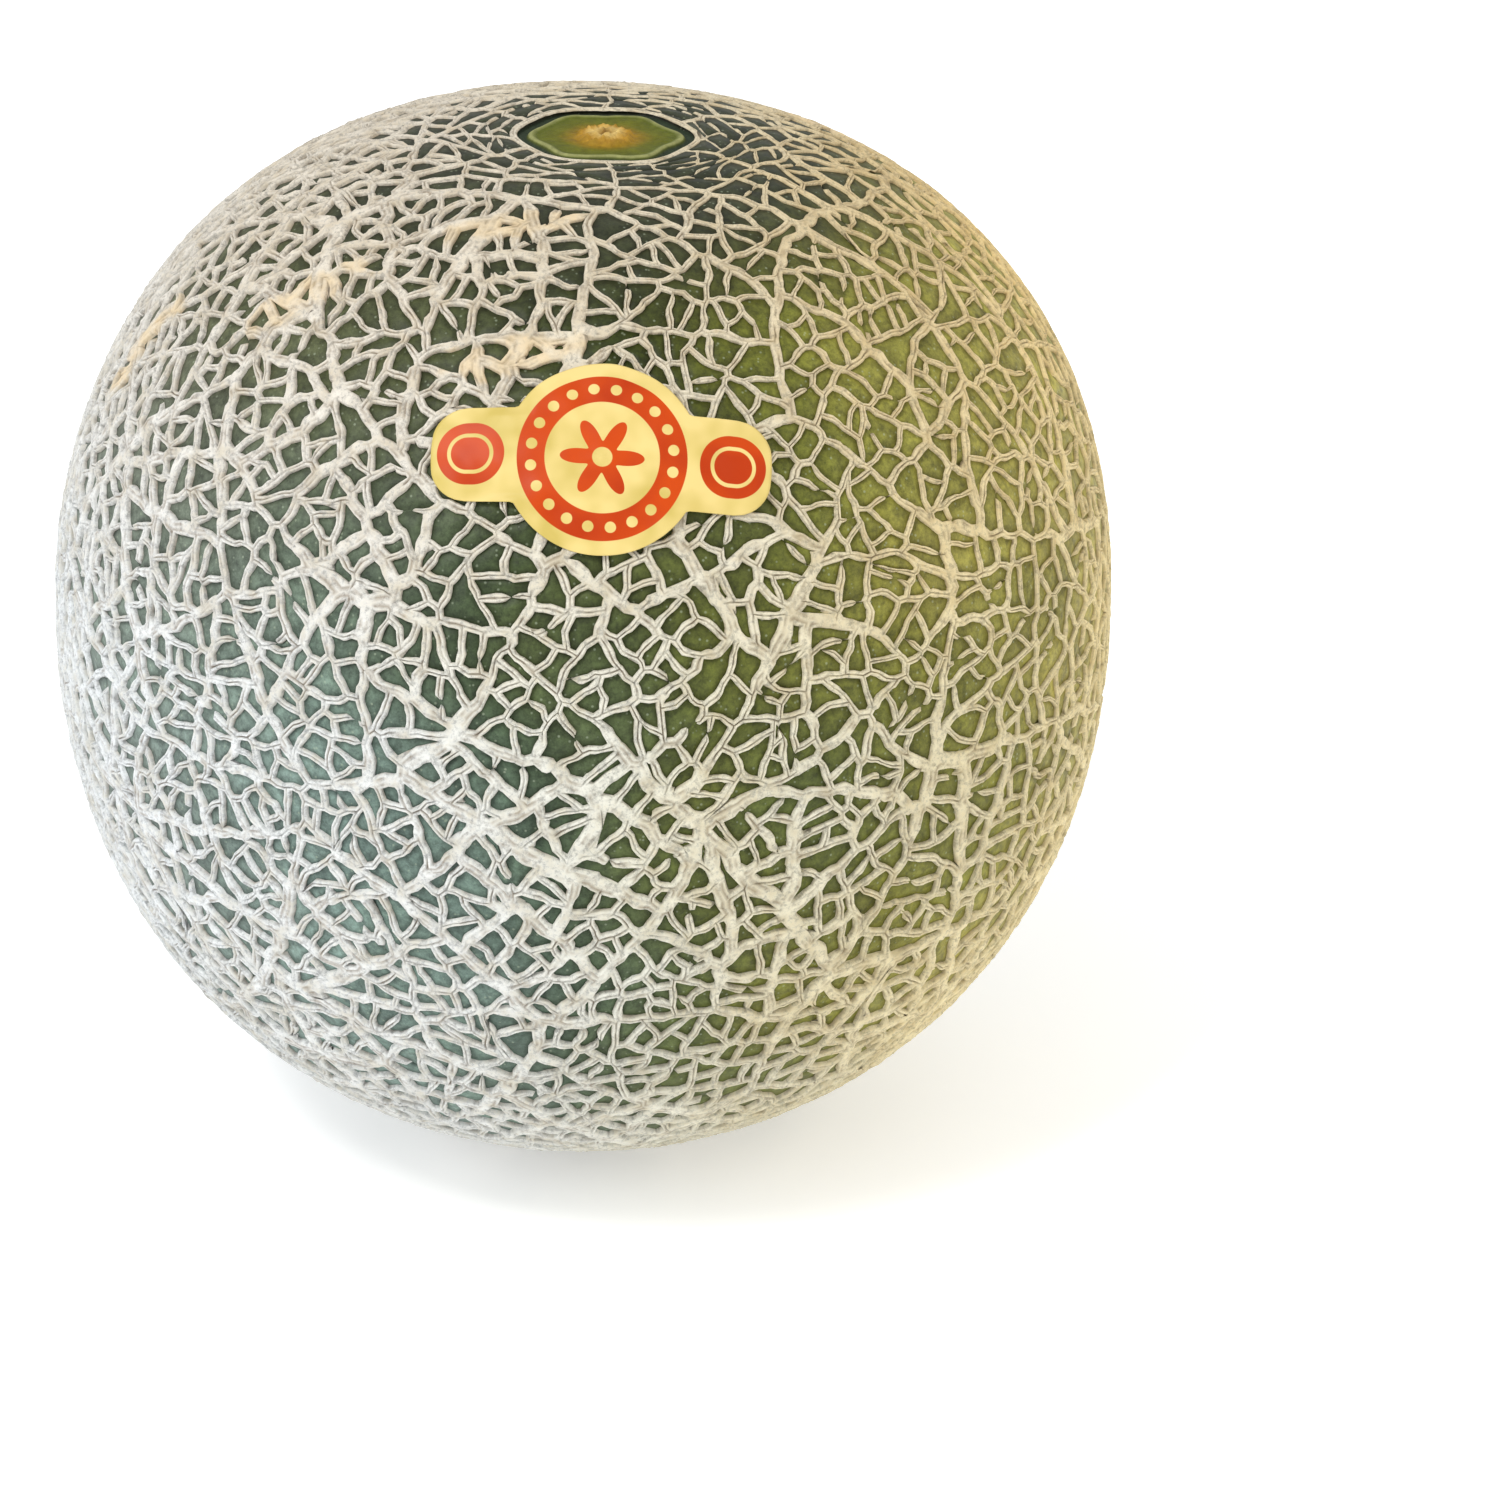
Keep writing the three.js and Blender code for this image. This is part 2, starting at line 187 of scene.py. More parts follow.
# The camera, found by fitting the fruit's outline in the photo
PHOTO_SIZE = 1512
FOCAL_PIXELS = 4668
CAMERA_DISTANCE = 669.0
CAMERA_ELEVATION = math.radians(23.2)
AIM_PIXEL = (585, 596)  # where the middle of the fruit lies in the photo
AIM_ROUNDS = 20  # until the camera's own right and up have settled


def unit(vectors):
    return vectors / np.linalg.norm(vectors, axis=-1, keepdims=True)


def direction(latitude, longitude):
    """Longitude runs from -Y towards +X."""
    level = math.cos(latitude)
    return np.array([math.sin(longitude) * level, -math.cos(longitude) * level, math.sin(latitude)])


STEM = direction(math.pi / 2 - STEM_LEAN, math.pi / 2)
DOWN = np.array([0.0, 0.0, -1.0])
LEFT_SHOULDER = direction(*np.radians(FLAT_SHOULDER_PLACE))


def across(axis):
    """Two unit vectors across a direction: to the right and up, when it points at the viewer."""
    x, y, z = axis
    level = math.hypot(x, z)
    right_x, right_z = z / level, -x / level
    return np.array([right_x, 0.0, right_z]), np.array([y * right_z, level, -y * right_x])


def plane_at(axis):
    """A direction, and those across it: to its right and up."""
    return (axis, *across(axis))


def flatten(plane, dirs):
    return np.stack([dirs @ plane[1], dirs @ plane[2]], 1)


def unflatten(plane, flat):
    """Directions through points in millimetres of a plane that touches the fruit."""
    axis, right, up = plane
    return unit(axis + (flat[:, :1] * right + flat[:, 1:] * up) / MEAN_RADIUS)


FLAKE_PLANES = [plane_at(direction(*np.radians(place))) for place in FLAKES]


def around(axis, distance, turn):
    """Directions at distances along the surface from an axis, turned about it."""
    right, up = across(axis)
    angle = np.asarray(distance)[..., None] / MEAN_RADIUS
    turn = np.asarray(turn)[..., None]
    side = np.cos(turn) * right + np.sin(turn) * up
    return np.cos(angle) * axis + np.sin(angle) * side


def polar_about(axis, dirs):
    """The inverse of around()."""
    right, up = across(axis)
    distance = np.arccos(np.clip(dirs @ axis, -1, 1)) * MEAN_RADIUS
    return distance, np.arctan2(dirs @ up, dirs @ right)


def smoothstep(values, low, high):
    share = np.clip((values - low) / (high - low), 0, 1)
    return share * share * (3 - 2 * share)


def waves(points, wavelength, seed, count=24):
    """Smooth noise of about unit size at points in millimetres."""
    rng = np.random.default_rng(seed)
    turns = unit(rng.normal(size=(count, 3))).T * 2 * np.pi
    turns = turns / (wavelength * rng.uniform(0.7, 1.5, count))
    phases = rng.uniform(0, 2 * np.pi, count)
    return np.sin(points @ turns + phases).sum(-1) * math.sqrt(2 / count)


def skin_radius(dirs):
    crown = dirs[..., 2] > 0
    height = np.where(crown, CROWN_HEIGHT, REST_DEPTH - SKIN_OVER_REST)
    power = np.where(crown, CROWN_POWER, BASE_POWER)
    sideways = np.hypot(dirs[..., 0], dirs[..., 1]) / BELLY_RADIUS
    upright = np.abs(dirs[..., 2]) / height
    oval = (sideways**power + upright**power) ** (-1 / power)
    from_stem = polar_about(STEM, dirs)[0]
    dimple = DIMPLE_DEPTH * np.exp(-((from_stem / DIMPLE_RADIUS) ** 2))
    (turn_x, shift_x), (turn_y, shift_y) = LUMP_WAVES
    lump = np.sin(turn_x * dirs[..., 0] + shift_x) * np.sin(turn_y * dirs[..., 1] + shift_y)
    from_shoulder = np.arccos(np.clip(dirs @ LEFT_SHOULDER, -1, 1)) / FLAT_SHOULDER_WIDTH
    flat = FLAT_SHOULDER * np.exp(-(from_shoulder**2))
    return oval - dimple - flat + LUMP_HEIGHT * lump * (1 - dirs[..., 2] ** 2)


def surface_points(dirs, lift):
    """Points in millimetres at a height over the skin, never under the resting face."""
    points = dirs * (skin_radius(dirs) + lift)[..., None]
    points[..., 2] = np.maximum(points[..., 2] + REST_DEPTH, 0)
    return points


def weakness(dirs):
    """1 in the middle of the area where the net is weak, 0 over more than half of the fruit."""
    return smoothstep(dirs @ np.array(WEAK_MIDDLE), *WEAK_BORDER)


def relief(dirs):
    """The net is lower round the stem and where it is weak."""
    from_stem = polar_about(STEM, dirs)[0]
    crown = CROWN_FLATNESS * (1 - smoothstep(from_stem, RING_CORD_RADIUS, FLATNESS_REACH))
    return NET_HEIGHT * (1 - crown) * (1 - WEAK_FLATNESS * weakness(dirs))


def crown_stretch(distance):
    fade = smoothstep(distance, RING_CORD_RADIUS + FULL_STRETCH_WIDTH, CROWN_REACH)
    return 1 + (CROWN_STRETCH - 1) * (1 - fade) ** 2


def crown_table():
    """Real distances from the stem and the shrunk ones, in which crown cells are even."""
    real = np.linspace(0.01, CROWN_REACH, CROWN_STEPS)
    stretch = crown_stretch(real)
    steps = np.diff(np.log(real)) * (stretch[1:] + stretch[:-1]) / 2
    log_shrunk = np.concatenate([[0], np.cumsum(steps)])
    shrunk = np.exp(log_shrunk - log_shrunk[-1]) * CROWN_REACH
    return real, shrunk


def move_about_stem(dirs, old, new):
    """Moves directions to or from the stem, as a table of distances says."""
    distance, turn = polar_about(STEM, dirs)
    moved = around(STEM, np.interp(distance, old, new), turn)
    return np.where((distance < CROWN_REACH)[:, None], moved, dirs)


def spread(count, jitter, rng):
    """Directions on an even spiral, each moved at random."""
    i = np.arange(count)
    z = 1 - (2 * i + 1) / count
    radius = np.sqrt(1 - z * z)
    turn = i * np.pi * (3 - math.sqrt(5))
    even = np.stack([radius * np.cos(turn), radius * np.sin(turn), z], 1)
    shift = rng.uniform(-1, 1, (count, 3)) * jitter * math.sqrt(4 * np.pi / count)
    return unit(even + shift)


def neighbours(axis, count, distance):
    return around(axis, np.full(count, distance), np.arange(count) * math.tau / count)


def first_seeds(rng):
    """One direction in each of the first cells: the stem first, the blossom scar last."""
    from_stem = 2 * np.interp(RING_CORD_RADIUS, *crown_table())
    from_scar = 2 * SCAR_CELL_RADIUS
    loose = spread(FIRST_CELLS, SEED_JITTER, rng)
    clear = polar_about(STEM, loose)[0] > CLEARANCE * from_stem
    clear &= polar_about(DOWN, loose)[0] > CLEARANCE * from_scar
    near_stem = neighbours(STEM, STEM_NEIGHBOURS, from_stem)
    near_scar = neighbours(DOWN, SCAR_NEIGHBOURS, from_scar)
    return np.concatenate([STEM[None], near_stem, loose[clear], near_scar, DOWN[None]])


def sphere_triangles(dirs):
    """The Delaunay triangles of directions, counter-clockwise from outside.

    All but the last are drawn in a plane as the last one sees them, where
    circles stay circles. The last one closes the net behind the plane's edge.
    """
    pole, rest = dirs[-1], dirs[:-1]
    flat = flatten(plane_at(pole), rest) / (1 - rest @ pole)[:, None]
    made = delaunay_2d_cdt([Vector(p) for p in flat], [], [], 0, 1e-9)
    source = [ids[0] for ids in made[3]]
    faces = np.array([[source[v] for v in face] for face in made[2]])
    pairs = np.concatenate([faces[:, [0, 1]], faces[:, [1, 2]], faces[:, [2, 0]]])
    known = {tuple(pair) for pair in pairs.tolist()}
    rim = [[b, a, len(rest)] for a, b in pairs.tolist() if (b, a) not in known]
    triangles = np.concatenate([faces, rim])
    corners = dirs[triangles]
    outward = np.linalg.det(corners) > 0
    triangles[~outward] = triangles[~outward][:, ::-1]
    return triangles


def cord_age(area):
    """0 for the crack of a small cell, 1 for that of a large one."""
    return np.clip(np.log(area / YOUNG) / math.log(OLD / YOUNG), 0, 1)


def cord_half(age):
    return np.interp(age**AGE_POWER, (0, 1), CORD_HALF_WIDTHS)


class Cracks:
    """Cells as loops of corners. Crown cells are even here, and are stretched later."""

    def __init__(self, rng):
        self.rng = rng
        self.real, self.shrunk = crown_table()
        self.make_first_cells(first_seeds(rng))
        self.scar = len(self.faces) - 1
        waiting = list(range(1, self.scar))
        while waiting:
            face = waiting.pop()
            area, open_area = self.areas(face)
            drift = CELL_DRIFT * self.points[self.faces[face][0]][0]
            if open_area > OPEN_LIMIT * math.exp(CELL_SPREAD * rng.normal() + drift):
                waiting += self.crack(face, area)

    def make_first_cells(self, seeds):
        """A cell's corners are the middles of the triangles round its seed."""
        triangles = sphere_triangles(seeds)
        a, b, c = (seeds[triangles[:, k]] for k in range(3))
        self.points = list(unit(np.cross(b - a, c - a)))
        beside = {}
        for index, (i, j, k) in enumerate(triangles.tolist()):
            beside[i, j], beside[j, k], beside[k, i] = (index, k), (index, i), (index, j)
        self.faces, self.face_of, self.parent = [], {}, {}
        for seed in range(len(seeds)):
            first = next(other for near, other in beside if near == seed)
            corners, other = [], first
            while not corners or other != first:
                corner, other = beside[seed, other]
                corners.append(corner)
            self.faces.append(corners)
            self.mark(seed)
        for start, end in self.face_of:
            self.parent[frozenset((start, end))] = FIRST_AREA
        for corner in self.faces[0]:
            self.points[corner] = self.on_ring(self.points[corner])
        for start, end in list(self.face_of):
            if start < end and not self.beside_stem(start, end):
                for place in self.bends(start, end):
                    start = self.split_side(start, end, 0.5)
                    self.points[start] = place

    def mark(self, face):
        corners = self.faces[face]
        for start, end in zip(corners, corners[1:] + corners[:1]):
            self.face_of[start, end] = face

    def beside_stem(self, start, end):
        return 0 in (self.face_of[start, end], self.face_of[end, start])

    def on_ring(self, place):
        """A point on the ring cord round the stem end."""
        turn = polar_about(STEM, place)[1]
        return around(STEM, np.interp(RING_CORD_RADIUS, self.real, self.shrunk), turn)

    def areas(self, face):
        """A cell's area in square millimetres, and what its cords leave open of it."""
        corners = self.faces[face]
        sides = zip(corners, corners[1:] + corners[:1])
        dirs = move_about_stem(np.array([self.points[c] for c in corners]), self.shrunk, self.real)
        after = np.roll(dirs, -1, 0)
        area = np.linalg.norm(np.cross(dirs, after).sum(0)) / 2 * MEAN_RADIUS**2
        lengths = np.linalg.norm(after - dirs, axis=1) * MEAN_RADIUS
        cracked = np.array([self.parent[frozenset(side)] for side in sides])
        return area, area - (lengths * cord_half(cord_age(cracked))).sum()

    def split_side(self, start, end, share):
        """A new corner on a side, in the loops of both its cells."""
        place = unit(self.points[start] * (1 - share) + self.points[end] * share)
        if self.beside_stem(start, end):
            place = self.on_ring(place)
        new = len(self.points)
        self.points.append(place)
        for a, b in ((start, end), (end, start)):
            face = self.face_of.pop((a, b))
            corners = self.faces[face]
            corners.insert(corners.index(a) + 1, new)
            self.face_of[a, new] = self.face_of[new, b] = face
        parent = self.parent.pop(frozenset((start, end)))
        self.parent[frozenset((start, new))] = self.parent[frozenset((new, end))] = parent
        return new

    def bends(self, start, end):
        """Places along a crack: it bows to one side and has kinks."""
        start, end = self.points[start], self.points[end]
        length = np.linalg.norm(end - start)
        count = int(length * MEAN_RADIUS / BEND_SPACING)
        share = ((np.arange(count) + 1) / (count + 1))[:, None]
        bow = np.sin(math.pi * share) * BEND * length * self.rng.normal()
        kink = self.rng.uniform(-KINK, KINK, (count, 1)) / MEAN_RADIUS
        return unit(start * (1 - share) + end * share + unit(np.cross(start, end)) * (bow + kink))

    def crack(self, face, area):
        """Cuts a cell across its length, at about its middle."""
        tries = [self.find_cut(self.faces[face]) for _ in range(CUT_TRIES)]
        cut = min(tries, key=lambda found: found[0])[1]
        return self.cut_cell(face, cut, area) if len(cut) == 2 else []

    def find_cut(self, corners):
        """How far a crack across a cell leans against the sides it meets, and where it meets them."""
        dirs = np.array([self.points[c] for c in corners])
        flat = flatten(plane_at(unit(dirs.sum(0))), dirs) * MEAN_RADIUS
        turns = np.arange(CUT_DIRECTIONS) * np.pi / CUT_DIRECTIONS
        spans = np.ptp(flat @ np.array([np.cos(turns), np.sin(turns)]), axis=0)
        turn = turns[np.argmax(spans)] + self.rng.normal() * CUT_TURN
        along = flat @ [math.cos(turn), math.sin(turn)]
        shift = self.rng.uniform(-CUT_SHIFT, CUT_SHIFT) * np.ptp(along)
        side = along - (along.min() + along.max()) / 2 - shift
        cut, lean = [], 0.0
        for k, after in enumerate(np.roll(np.arange(len(corners)), -1)):
            if side[k] * side[after] < 0:
                length = np.linalg.norm(flat[after] - flat[k])
                margin = min(SIDE_MARGIN_SHARE, SIDE_MARGIN / length)
                share = side[k] / (side[k] - side[after])
                kept = np.clip(share, margin, 1 - margin)
                cut.append((corners[k], corners[after], kept))
                squareness = abs(side[after] - side[k]) / length
                lean += 1 - squareness + abs(share - kept)
        return (lean if len(cut) == 2 else math.inf), cut

    def cut_cell(self, face, cut, area):
        corners = self.faces[face]
        one, other = (self.split_side(*place) for place in cut)
        first, second = sorted((corners.index(one), corners.index(other)))
        between = []
        for place in self.bends(corners[first], corners[second]):
            between.append(len(self.points))
            self.points.append(place)
        line = [corners[first], *between, corners[second]]
        for pair in zip(line, line[1:]):
            self.parent[frozenset(pair)] = area
        new_face = len(self.faces)
        self.faces.append(corners[first:second + 1] + between[::-1])
        self.faces[face] = corners[second:] + corners[:first + 1] + between
        self.mark(face)
        self.mark(new_face)
        return [face, new_face]


class Net:
    """The cracks on the real fruit, with fine points along them."""

    def __init__(self, rng):
        cracks = Cracks(rng)
        self.scar = cracks.scar
        self.count = len(cracks.faces)
        self.find_sides(cracks)
        corners = move_about_stem(np.array(cracks.points), cracks.shrunk, cracks.real)
        self.relax(corners)
        self.place_points(rng)

    def find_sides(self, cracks):
        """Sides in the order of the cells' loops. Each cord is a side of two cells."""
        pairs = [(a, b) for loop in cracks.faces for a, b in zip(loop, loop[1:] + loop[:1])]
        ends = np.cumsum([len(loop) for loop in cracks.faces])
        self.sides = [range(b - len(loop), b) for loop, b in zip(cracks.faces, ends)]
        self.start, self.end = np.array(pairs).T
        self.forward = self.start < self.end
        self.cord = np.unique(np.sort(np.array(pairs), axis=1), axis=0, return_inverse=True)[1].ravel()
        self.age = cord_age(np.array([cracks.parent[frozenset(pair)] for pair in pairs]))
        self.ring = np.array([cracks.beside_stem(*pair) for pair in pairs])
        self.fixed_corner = np.zeros(len(cracks.points), bool)
        self.fixed_corner[self.start[self.ring]] = True

    def relax(self, corners):
        """Tension: corners move towards their neighbours' mean, main cords pull hardest."""
        pull = np.interp(self.age, (0, 1), CORD_PULLS)
        pulled = [np.bincount(self.start, pull * corners[self.end, k]) for k in range(3)]
        moved = unit(corners + np.stack(pulled, 1) / np.bincount(self.start, pull)[:, None])
        self.corners = np.where(self.fixed_corner[:, None], corners, moved)

    def place_points(self, rng):
        """Fine points: the corners first, then those between them, cord by cord."""
        points, coarse = [self.corners], [np.bincount(self.start) > 2]
        self.inner, self.halves = {}, {}
        total = len(self.corners)
        for side in np.flatnonzero(self.forward):
            start, end = self.corners[self.start[side]], self.corners[self.end[side]]
            length = np.linalg.norm(end - start) * MEAN_RADIUS
            count = max(1, round(length / POINT_SPACING)) - 1
            share = (np.arange(count) + 1)[:, None] / (count + 1)
            points.append(unit(start + (end - start) * share))
            coarse.append(np.arange(count) % 2 == count // 2 % 2)
            cord = self.cord[side]
            self.inner[cord] = list(range(total, total + count))
            self.halves[cord] = self.widths_along(side, start, end, count + 1, rng)
            total += count
        self.points = self.wander(np.concatenate(points))
        self.coarse = np.concatenate(coarse)
        ring = self.loop(0)[0]
        turn = polar_about(STEM, self.points[ring])[1]
        reach = RING_CORD_RADIUS * (RING_ROUNDNESS + (1 - RING_ROUNDNESS) * hexagon(turn))
        self.points[ring] = around(STEM, reach, turn)

    def widths_along(self, side, start, end, count, rng):
        """Half widths of a cord's short segments. A cord may thin out and stop short."""
        age = self.age[side]
        share = (np.arange(count)[:, None] + 0.5) / count
        place = unit(start + (end - start) * share) * MEAN_RADIUS
        swell = 1 + SWELL * waves(place, SWELL_LENGTH, seed=61) * age
        swell = swell + WIDTH_JITTER * rng.normal(size=count)
        if self.ring[side]:
            return np.full(count, RING_CORD_HALF)
        swell = swell * (1 + FLAKE_SWELL * flakes(place))
        from_stem = polar_about(STEM, place / MEAN_RADIUS)[0]
        thin = 1 - CROWN_THINNING * (1 - smoothstep(from_stem, RING_CORD_RADIUS, CROWN_REACH))
        weak = weakness(place / MEAN_RADIUS)
        left = smoothstep(-place[:, 0], 0, MEAN_RADIUS)
        thin = thin * (1 - WEAK_THINNING * weak) * (1 - LEFT_THINNING * left)
        bare = from_stem.min() <= BARE_RADIUS
        chance = (2 if bare else 1) * OPEN_CORDS + WEAK_OPEN * weak[0]
        if (age < OLDEST_OPEN or bare) and count > 2 and rng.random() < chance:
            stop = rng.uniform(*STUB_LENGTHS)
            thin = thin * (1 - smoothstep(share[:, 0], stop - STUB_TIP, stop))
            thin = thin[::-1] if rng.random() < 0.5 else thin
        return np.maximum(cord_half(age) * np.clip(swell, *WIDTH_LIMITS) * thin, LEAST_HALF)

    def wander(self, dirs):
        """Cords bend a little instead of running straight, less so near the stem."""
        place = dirs * MEAN_RADIUS
        calm = smoothstep(polar_about(STEM, dirs)[0], RING_CORD_RADIUS, CROWN_REACH)
        share = CROWN_WANDER + (1 - CROWN_WANDER) * calm
        for wavelength, amount, seed in WANDER:
            shift = np.stack([waves(place, wavelength, seed + k) for k in range(3)], 1)
            place = place + shift * amount * share[:, None]
        return unit(place)

    def loop(self, cell):
        """A cell's border: fine points, and the half width of the cord from each to the next."""
        points, halves = [], []
        for side in self.sides[cell]:
            step = 1 if self.forward[side] else -1
            points += [self.start[side], *self.inner[self.cord[side]][::step]]
            halves.append(self.halves[self.cord[side]][::step])
        return np.array(points), np.concatenate(halves)

    def point_halves(self):
        """The half width of the widest cord at each fine point."""
        widest = np.zeros(len(self.points))
        for cell in range(self.count):
            points, halves = self.loop(cell)
            np.maximum.at(widest, points, halves)
            np.maximum.at(widest, np.roll(points, -1), halves)
        return widest


def distances_to_segments(points, starts, ends):
    """From points (..., 2) to n segments: an array (..., n)."""
    along = ends - starts
    offset = points[..., None, :] - starts
    share = (offset * along).sum(-1) / np.maximum((along * along).sum(-1), 1e-9)
    gap = offset - np.clip(share, 0, 1)[..., None] * along
    return np.sqrt((gap * gap).sum(-1))


def smooth_ring(ring, share):
    return ring * (1 - share) + (np.roll(ring, 1, 0) + np.roll(ring, -1, 0)) * share / 2


SAMPLES = np.linspace(0, 0.93, 24)  # of the way from a cell's border to its middle


def sharpen(ring, outline, distance_before, distance_after):
    """Moves a ring's points at the corners of a cell to where its straight edges would meet."""
    before = unit(outline - np.roll(outline, 1, 0))
    after = np.roll(before, -1, 0)
    sine = before[:, 0] * after[:, 1] - before[:, 1] * after[:, 0]
    safe = np.where(sine > SHARP_TURN, sine, 1.0)[:, None]
    moved = outline + (after * distance_before[:, None] - before * distance_after[:, None]) / safe
    behind = ((np.roll(ring, 1, 0) - moved) * before).sum(1) < -CORNER_ROOM
    ahead = ((np.roll(ring, -1, 0) - moved) * after).sum(1) > CORNER_ROOM
    sharp = (sine > SHARP_TURN) & behind & ahead
    return np.where(sharp[:, None], moved, ring)


def cell_rings(outline, halves, levels):
    """Points of each ring inside a cell, in the flat of the cell.

    A ring lies at a share of the cord's half width from the border. Where a cell
    is too small for its cords, they narrow until a pit is left.
    """
    middle = outline.mean(0)
    rays = outline[:, None] + SAMPLES[None, :, None] * (middle - outline)[:, None]
    gaps = distances_to_segments(rays, outline, np.roll(outline, -1, 0)) / halves
    depth = np.maximum.accumulate(gaps.min(-1), axis=1)
    squeeze = min(1.0, CORD_ROOM * depth[:, -1].max())
    rings = []
    for share, softness in zip(levels.T, RING_SOFTNESS):
        wanted = share * squeeze
        index = np.clip((depth < wanted[:, None]).sum(1), 1, len(SAMPLES) - 1)
        row = np.arange(len(outline))
        low, high = depth[row, index - 1], depth[row, index]
        part = np.clip((wanted - low) / np.maximum(high - low, 1e-6), 0, 1)
        reach = SAMPLES[index - 1] + part * (SAMPLES[index] - SAMPLES[index - 1])
        ring = outline + reach[:, None] * (middle - outline)
        if squeeze == 1:
            ring = sharpen(ring, outline, share * np.roll(halves, 1), share * halves)
        rings.append(smooth_ring(ring, softness))
    return rings, middle, squeeze


class Builder:
    """Collects vertices with their attributes, and faces marked with the cell they are in."""

    def __init__(self, names):
        self.names = names
        self.dirs, self.lifts, self.values = [], [], {name: [] for name in names}
        self.quads, self.triangles, self.total = [], [], 0

    def add(self, dirs, lift, **values):
        count = len(dirs)
        self.dirs.append(dirs)
        self.lifts.append(np.broadcast_to(lift, count))
        for name in self.names:
            self.values[name].append(np.broadcast_to(values[name], count))
        self.total += count
        return np.arange(self.total - count, self.total)

    def strip(self, outer, inner, cell):
        mark = np.full(len(outer), cell)
        rows = [outer, np.roll(outer, -1), np.roll(inner, -1), inner, mark]
        self.quads.append(np.stack(rows, 1))

    def strips(self, rings):
        for outer, inner in zip(rings[:-1], rings[1:]):
            self.strip(outer, inner, 0)

    def cone(self, loop, tip, cell):
        mark = np.full(len(loop), cell)
        self.triangles.append(np.stack([loop, np.roll(loop, -1), np.full(len(loop), tip), mark], 1))

    def join(self):
        self.dirs = np.concatenate(self.dirs)
        self.lifts = np.concatenate(self.lifts)
        self.values = {name: np.concatenate(parts) for name, parts in self.values.items()}
        self.quads = np.concatenate(self.quads)
        self.triangles = np.concatenate(self.triangles)

    def piece(self, name, material, cells=None):
        """A Blender object of the faces in some cells, or in all."""
        quads, triangles = self.quads, self.triangles
        if cells is not None:
            quads, triangles = quads[cells[quads[:, -1]]], triangles[cells[triangles[:, -1]]]
        quads, triangles = quads[:, :-1], triangles[:, :-1]
        used, places = np.unique(np.concatenate([quads.ravel(), triangles.ravel()]), return_inverse=True)
        sizes = np.concatenate([np.full(len(quads), 4), np.full(len(triangles), 3)])
        values = {key: value[used] for key, value in self.values.items()}
        points = surface_points(self.dirs[used], self.lifts[used]) * MM
        return make_object(name, points, places, sizes, values, material)


def add_object(name, data):
    made = bpy.data.objects.new(name, data)
    bpy.context.scene.collection.objects.link(made)
    return made


def make_object(name, points, loops, sizes, values, material):
    mesh = bpy.data.meshes.new(name)
    mesh.vertices.add(len(points))
    mesh.vertices.foreach_set("co", points.astype(np.float32).ravel())
    mesh.loops.add(len(loops))
    mesh.loops.foreach_set("vertex_index", loops.astype(np.int32))
    mesh.polygons.add(len(sizes))
    starts = np.concatenate([[0], np.cumsum(sizes)[:-1]])
    mesh.polygons.foreach_set("loop_start", starts.astype(np.int32))
    mesh.polygons.foreach_set("use_smooth", np.ones(len(sizes), bool))
    for key, value in values.items():
        attribute = mesh.attributes.new(key, "FLOAT", "POINT")
        attribute.data.foreach_set("value", value.astype(np.float32))
    mesh.update(calc_edges=True)
    mesh.validate()
    mesh.materials.append(material)
    return add_object(name, mesh)


def mixed(pair, share):
    """Between the values for minor cords and for main ones."""
    low, high = (np.asarray(values, float) for values in pair)
    share = np.asarray(share)
    return low + (high - low) * (share[..., None] if low.ndim else share)


def mainness(half):
    return smoothstep(half, MINOR_HALF, MAIN_HALF)


def presence(half):
    """0 where a cord has stopped and lies hidden under the skin, 1 where it stands out."""
    return smoothstep(half, HIDDEN_HALF, SHOWN_HALF)


def flakes(place):
    """1 in a few long patches of the upper half where the cork is thick, tan and flaky."""
    found = np.zeros(len(place))
    if place[:, 2].max() < LOWEST_FLAKE:
        return found
    rough = FLAKE_RAGGEDNESS * waves(place, 4.0, seed=91)
    for axis, right, up in FLAKE_PLANES:
        x, y = place @ right / FLAKE_SIZE[0], place @ up / FLAKE_SIZE[1]
        inside = smoothstep(FLAKE_FULLNESS - x * x - y * y + rough, 0.0, FLAKE_SOFTNESS)
        found = np.maximum(found, np.where(place @ axis > 0, inside, 0))
    return found


